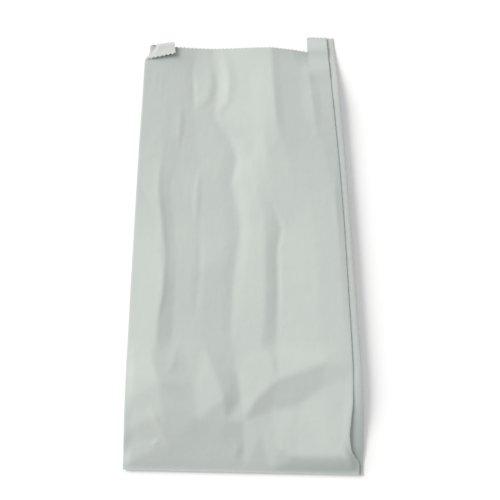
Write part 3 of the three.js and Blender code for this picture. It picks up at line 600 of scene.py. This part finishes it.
class Paper:
    """The bag's closed mesh: both faces of the paper, its cut edges and its sealed bottom."""

    def __init__(self):
        self.mouth_row = LENGTH - BELOW_TEETH
        self.last_ear_row = TIP - BELOW_TEETH
        regular = np.arange(REGULAR_FROM, self.mouth_row - LAST_ROW_CLEARANCE * ROW_STEP, ROW_STEP)
        hem = [HEM_LENGTH, HEM_LENGTH + SLIT_EDGE]
        regular = [s for s in regular if all(abs(s - h) > ROW_CLEARANCE * ROW_STEP for h in hem)]
        self.rows = sorted(FIRST_ROWS + regular + hem + [self.mouth_row])
        ears = list(np.linspace(LENGTH, self.last_ear_row, EAR_ROWS))
        teeth = [edge + sign * TOOTH_DEPTH / 2 for edge in (LENGTH, TIP) for sign in (-1, 1)]
        stations = sorted(set(self.rows + ears + teeth + [TIP]))
        self.ear_rows = [self.mouth_row] + ears
        self.grid = Grid(stations)
        self.index = {round(s / MM, 6): j for j, s in enumerate(stations)}
        self.known, self.vertices, self.faces = {}, [], []

    def vertex(self, side, column, station):
        wrapped = column % self.grid.count
        key = (side, round(wrapped, 5), round(station / MM, 5))
        if key not in self.known:
            self.known[key] = len(self.vertices)
            self.vertices.append(self.place(side, wrapped, station))
        return self.known[key]

    def place(self, side, column, station):
        grid = self.grid
        j = self.index[round(station / MM, 6)]
        a = int(column)
        b, t = (a + 1) % grid.count, column - a
        point = grid.points[j, a] * (1 - t) + grid.points[j, b] * t
        normal = grid.normals[j, a] * (1 - t) + grid.normals[j, b] * t
        thickness = PAPER / 2
        if side == OUTSIDE and grid.right_back_arc + ARC_STEPS <= column <= grid.left_back_arc:
            x = grid.x[j, a] * (1 - t) + grid.x[j, b] * t
            thickness += seam_layers(x)[1] * PAPER
            thickness += HEM_THICKNESS if station <= HEM_LENGTH else 0
        return point + side * thickness * normal / np.linalg.norm(normal)

    def face(self, *corners, flip=False):
        distinct = list(dict.fromkeys(corners))
        if len(distinct) > 2:
            self.faces.append(distinct[::-1] if flip else distinct)

    def add_rows(self, side, first, last, rows):
        for low, high in zip(rows, rows[1:]):
            for column in range(first, last):
                a, b = self.vertex(side, column, low), self.vertex(side, column + 1, low)
                c, d = self.vertex(side, column + 1, high), self.vertex(side, column, high)
                self.face(a, b, c, d, flip=side == INSIDE)

    def bridge(self, lower, upper, flip):
        """Fills the strip between two chains of (vertex, place) whose places rise or fall together."""
        rising = 1 if lower[-1][1] >= lower[0][1] else -1
        i = j = 0
        while i < len(lower) - 1 or j < len(upper) - 1:
            lower_next = rising * lower[i + 1][1] if i < len(lower) - 1 else math.inf
            upper_next = rising * upper[j + 1][1] if j < len(upper) - 1 else math.inf
            if lower_next <= upper_next:
                self.face(lower[i][0], lower[i + 1][0], upper[j][0], flip=flip)
                i += 1
            else:
                self.face(lower[i][0], upper[j + 1][0], upper[j][0], flip=flip)
                j += 1

    def toothed_edge(self, first, last, edge):
        """Toothed cut between two columns, as (column, station). All layers share the teeth's places."""
        grid = self.grid
        row = grid.x[self.index[round(edge / MM, 6)]]
        ends = lambda column: (row[column % grid.count], row[(column + 1) % grid.count])
        tight = lambda column: grid.is_arc(column % grid.count)
        line = [(first, edge)]
        for column in range(first, last):
            a, b = ends(column)
            if not tight(column):
                step = 1 if b > a else -1
                n = (math.ceil if step > 0 else math.floor)(round(a / HALF_TOOTH, 6))
                while step * (b - n * HALF_TOOTH) > -ROUNDING:
                    place = column + (n * HALF_TOOTH - a) / (b - a)
                    clear = min(place - first, last - place) > END_CLEARANCE
                    if clear and place - line[-1][0] > SAME_COLUMN:
                        line.append((place, edge + (0.5 if n % 2 else -0.5) * TOOTH_DEPTH))
                    n += step
            turning = tight(column) or (column + 1 < last and tight(column + 1))
            if turning or column + 1 == last:
                if column + 1 - line[-1][0] < SAME_COLUMN:
                    line.pop()
                line.append((column + 1, edge))
        return line

    def add_edge(self, first, last, row, edge):
        teeth = self.toothed_edge(first, last, edge)
        for side in (OUTSIDE, INSIDE):
            upper = [(self.vertex(side, column, station), column) for column, station in teeth]
            lower = [(self.vertex(side, column, row), column) for column in range(first, last + 1)]
            self.bridge(lower, upper, side == INSIDE)
        self.add_rim(teeth)

    def add_rim(self, line):
        for a, b in zip(line, line[1:]):
            self.face(
                self.vertex(OUTSIDE, *a), self.vertex(OUTSIDE, *b),
                self.vertex(INSIDE, *b), self.vertex(INSIDE, *a),
            )

    def add_ear(self, first, last):
        for side in (OUTSIDE, INSIDE):
            self.add_rows(side, first, last, self.ear_rows)
        self.add_edge(first, last, self.last_ear_row, TIP)
        cut = self.ear_rows[1:] + [TIP]
        self.add_rim([(last, station) for station in reversed(cut)])
        self.add_rim([(first, station) for station in cut])

    def add_end(self, side, station):
        """Closes the tube: the middle between the gussets' inner folds, then four wedges."""
        grid, half = self.grid, ARC_STEPS // 2
        row = grid.x[self.index[round(station / MM, 6)]]

        def ends(columns):
            return [(self.vertex(side, c % grid.count, station), row[c % grid.count]) for c in columns]

        flip = side == INSIDE
        right_inner, left_inner = grid.right_inner_arc + half, grid.left_inner_arc + half
        right_front, left_front = grid.front_end + half, grid.left_front_arc + half
        right_back, left_back = grid.right_back_arc + half, grid.left_back_arc + half
        front = range(grid.front_left_cut, grid.front_right_cut + 1)
        back = range(grid.back_left_cut, grid.back_right_cut - 1, -1)
        strips = [
            ([left_inner, *back, right_inner], [left_inner, *front, right_inner]),
            (range(right_inner, right_front - 1, -1), range(grid.front_right_cut, right_front + 1)),
            (range(grid.back_right_cut, right_back - 1, -1), range(right_inner, right_back + 1)),
            (range(left_back, grid.back_left_cut - 1, -1), range(left_back, left_inner + 1)),
            (range(left_front, left_inner - 1, -1),
             range(left_front, grid.count + grid.front_left_cut + 1)),
        ]
        for lower, upper in strips:
            self.bridge(ends(lower), ends(upper), flip)

    def build(self):
        grid = self.grid
        inner = [s for s in self.rows if s >= BOTTOM_SEAL]
        self.add_rows(OUTSIDE, 0, grid.count, self.rows)
        self.add_rows(INSIDE, 0, grid.count, inner)
        self.add_end(OUTSIDE, self.rows[0])
        self.add_end(INSIDE, BOTTOM_SEAL)
        self.add_edge(grid.front_left_cut, grid.front_right_cut, self.mouth_row, LENGTH)
        self.add_edge(grid.back_right_cut, grid.back_left_cut, self.mouth_row, LENGTH)
        self.add_ear(grid.front_right_cut, grid.back_right_cut)
        self.add_ear(grid.back_left_cut, grid.count + grid.front_left_cut)
        return np.array(self.vertices), self.faces


def make_bag():
    """The bag's object, standing on the ground and centred, and how far that moved it."""
    vertices, faces = Paper().build()
    low, high = vertices.min(axis=0), vertices.max(axis=0)
    shift = np.array([-(low[0] + high[0]) / 2, -(low[1] + high[1]) / 2, -low[2]])
    mesh = bpy.data.meshes.new("creased_bag")
    mesh.from_pydata((vertices + shift).tolist(), [], faces)
    mesh.validate()
    mesh.shade_smooth()
    mesh.set_sharp_from_angle(angle=math.radians(SHARP_ANGLE))
    bag = bpy.data.objects.new("creased_bag", mesh)
    bpy.context.scene.collection.objects.link(bag)
    return bag, Vector(shift)


# Paper: bleached kraft, faintly cool, with fine fibres, lengthwise machine streaks and cloudy density
PAPER_COLOUR = (0.55, 0.59, 0.564)
DENSE_COLOUR = (0.556, 0.594, 0.567)
THIN_COLOUR = (0.543, 0.585, 0.561)
STREAK = 0.08  # width of a streak as a share of its length
FIBRE = 0.35

# Painted highlight: the curled ear is painted whiter and warmer, in place of the light falling on it. It
# lies
# # to the left of the first place, past the second towards the mouth, and higher than the third.
EAR_HIGHLIGHT_COLOUR = (0.7, 0.715, 0.69)
EAR_SIDE = -56 * MM
EAR_REACH = 152 * MM
EAR_SURFACE = 9.75 * MM
SIDE_BLEND = 1 * MM
SURFACE_BLEND = 0.25 * MM


class Nodes:
    """Adds the nodes of a material and links them."""

    def __init__(self, material):
        material.use_nodes = True
        self.tree = material.node_tree
        self.tree.nodes.clear()

    def add(self, kind, inputs=(), **settings):
        node = self.tree.nodes.new(kind)
        for name, value in settings.items():
            setattr(node, name, value)
        for name, value in dict(inputs).items():
            if isinstance(value, bpy.types.NodeSocket):
                self.tree.links.new(value, node.inputs[name])
            else:
                node.inputs[name].default_value = value
        return node

    def stretched(self, place, scale):
        return self.add("ShaderNodeMapping", {"Vector": place, "Scale": scale}).outputs["Vector"]

    def noise(self, place, scale, detail, roughness):
        inputs = {"Vector": place, "Scale": scale, "Detail": detail, "Roughness": roughness}
        return self.add("ShaderNodeTexNoise", inputs).outputs["Fac"]

    def ramp(self, factor, stops):
        node = self.add("ShaderNodeValToRGB", {"Fac": factor})
        elements = node.color_ramp.elements
        while len(elements) < len(stops):
            elements.new(0.5)
        for element, (position, colour) in zip(elements, stops):
            element.position = position
            element.color = (*colour, 1)
        return node.outputs["Color"]

    def step(self, value, start, end):
        """Zero up to the start, one from the end on, and soft between them."""
        inputs = {"Value": value, "From Min": start, "From Max": end}
        return self.add("ShaderNodeMapRange", inputs, interpolation_type="SMOOTHSTEP").outputs["Result"]

    def math(self, operation, first, second):
        return self.add("ShaderNodeMath", {0: first, 1: second}, operation=operation).outputs[0]

    def bump(self, height, strength, distance, below=None):
        inputs = {"Height": height, "Strength": strength, "Distance": distance}
        if below is not None:
            inputs["Normal"] = below
        return self.add("ShaderNodeBump", inputs).outputs["Normal"]


def ear_highlight_mask(nodes, place):
    """Mask of the ear's painted highlight: one on the curled ear, zero on the rest of the bag."""
    axes = nodes.add("ShaderNodeSeparateXYZ", {"Vector": place}).outputs
    left = nodes.step(axes["X"], EAR_SIDE + SIDE_BLEND, EAR_SIDE - SIDE_BLEND)
    ahead = nodes.step(axes["Y"], EAR_REACH - SIDE_BLEND, EAR_REACH + SIDE_BLEND)
    raised = nodes.step(axes["Z"], EAR_SURFACE - SURFACE_BLEND, EAR_SURFACE + SURFACE_BLEND)
    return nodes.math("MULTIPLY", nodes.math("MULTIPLY", left, ahead), raised)


def paper_material():
    material = bpy.data.materials.new("paper")
    nodes = Nodes(material)
    place = nodes.add("ShaderNodeTexCoord").outputs["Object"]
    cloud = nodes.noise(place, scale=55, detail=5, roughness=0.6)
    colour = nodes.ramp(cloud, [(0.3, THIN_COLOUR), (0.5, PAPER_COLOUR), (0.7, DENSE_COLOUR)])
    # Painted highlight: the top of the curled ear is painted lighter and warmer than the rest of the
    # paper
    colour = nodes.add("ShaderNodeMixRGB", {
        "Fac": ear_highlight_mask(nodes, place), "Color1": colour, "Color2": (*EAR_HIGHLIGHT_COLOUR, 1),
    }).outputs["Color"]
    streak = nodes.noise(nodes.stretched(place, (1, STREAK, 1)), scale=420, detail=4, roughness=0.6)
    fibre = nodes.noise(nodes.stretched(place, (1, FIBRE, 1)), scale=2600, detail=3, roughness=0.7)
    crinkle = nodes.noise(place, scale=95, detail=4, roughness=0.55)
    normal = nodes.bump(crinkle, strength=0.35, distance=0.6 * MM)
    normal = nodes.bump(streak, strength=0.3, distance=0.12 * MM, below=normal)
    normal = nodes.bump(fibre, strength=0.35, distance=0.06 * MM, below=normal)
    surface = nodes.add("ShaderNodeBsdfPrincipled", {
        "Base Color": colour, "Roughness": 0.72, "Specular IOR Level": 0.35, "Normal": normal,
    })
    nodes.add("ShaderNodeOutputMaterial", {"Surface": surface.outputs["BSDF"]})
    return material


# Floor: a white ground that looks white to the eye and in reflections, and still takes the shadow
FLOOR_COLOUR = (0.93, 0.93, 0.93, 1)
FLOOR_GLOW = 0.12
FLOOR_SIZE = 8.0
FLOOR_GAP = 0.2 * MM


def floor_material():
    material = bpy.data.materials.new("floor")
    nodes = Nodes(material)
    path = nodes.add("ShaderNodeLightPath").outputs
    seen = nodes.math("ADD", path["Is Camera Ray"], path["Is Glossy Ray"])
    seen = nodes.math("ADD", seen, path["Is Transmission Ray"])
    surface = nodes.add("ShaderNodeBsdfPrincipled", {
        "Base Color": FLOOR_COLOUR, "Roughness": 1, "Specular IOR Level": 0,
        "Emission Color": (1, 1, 1, 1), "Emission Strength": nodes.math("MULTIPLY", seen, FLOOR_GLOW),
    })
    nodes.add("ShaderNodeOutputMaterial", {"Surface": surface.outputs["BSDF"]})
    return material


def make_floor():
    half = FLOOR_SIZE / 2
    mesh = bpy.data.meshes.new("floor")
    corners = [(-half, -half, 0), (half, -half, 0), (half, half, 0), (-half, half, 0)]
    mesh.from_pydata(corners, [], [(0, 1, 2, 3)])
    floor = bpy.data.objects.new("floor", mesh)
    floor.location.z = -FLOOR_GAP
    bpy.context.scene.collection.objects.link(floor)
    mesh.materials.append(floor_material())


# Light: an even surround and one wide soft lamp from the left of the bag, towards its mouth
SURROUND = 0.502  # brightness of white level ground under the surround alone
KEY = 0.51  # and under the lamp alone
KEY_ELEVATION = 23  # degrees above the ground
KEY_AZIMUTH = 143  # degrees from +X, counterclockwise
KEY_ANGLE = 36  # degrees, the lamp's width
SURROUND_COLOUR = (0.985, 0.995, 1, 1)
KEY_COLOUR = (1, 0.985, 0.95)


def make_lights():
    world = bpy.data.worlds.new("surround")
    bpy.context.scene.world = world
    world.use_nodes = True
    background = world.node_tree.nodes["Background"]
    background.inputs["Color"].default_value = SURROUND_COLOUR
    background.inputs["Strength"].default_value = SURROUND
    lamp = bpy.data.lights.new("key", "SUN")
    elevation, azimuth = math.radians(KEY_ELEVATION), math.radians(KEY_AZIMUTH)
    lamp.energy = KEY * math.pi / math.sin(elevation)
    lamp.angle = math.radians(KEY_ANGLE)
    lamp.color = KEY_COLOUR
    key = bpy.data.objects.new("key", lamp)
    towards = Vector((
        math.cos(elevation) * math.cos(azimuth), math.cos(elevation) * math.sin(azimuth),
        math.sin(elevation),
    ))
    key.rotation_euler = towards.to_track_quat("Z", "Y").to_euler()
    bpy.context.scene.collection.objects.link(key)


# Camera, as it stood over the bag: its turns in degrees, and where it sees the point of the ground
# that lies PANEL_REFERENCE from the bottom fold, in its own axes
CAMERA_TURNS = (-17.85, 0.05, 0.695)
CAMERA_SEES = (-6.7 * MM, 19.7 * MM, -428.0 * MM)
PANEL_REFERENCE = 187 * MM
FOCAL_LENGTH = 37.44  # in millimetres, and so is the sensor
SENSOR_WIDTH = 36
NEAREST_SEEN = 10 * MM


def make_camera(shift):
    data = bpy.data.cameras.new("camera")
    data.sensor_width = SENSOR_WIDTH
    data.lens = FOCAL_LENGTH
    data.clip_start = NEAREST_SEEN
    camera = bpy.data.objects.new("camera", data)
    turn = Matrix.Identity(3)
    for angle, axis in zip(CAMERA_TURNS, "XYZ"):
        turn = turn @ Matrix.Rotation(math.radians(angle), 3, axis)
    back = turn.transposed()
    origin = Vector((shift[0], shift[1] + PANEL_REFERENCE, 0))
    camera.matrix_world = Matrix.Translation(origin - back @ Vector(CAMERA_SEES)) @ back.to_4x4()
    bpy.context.scene.collection.objects.link(camera)
    bpy.context.scene.camera = camera


bag, moved = make_bag()
bag.data.materials.append(paper_material())
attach(bag, "root")
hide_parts("paper_bag")
make_camera(moved)
make_lights()
make_floor()
bpy.context.scene.view_settings.view_transform = "Standard"
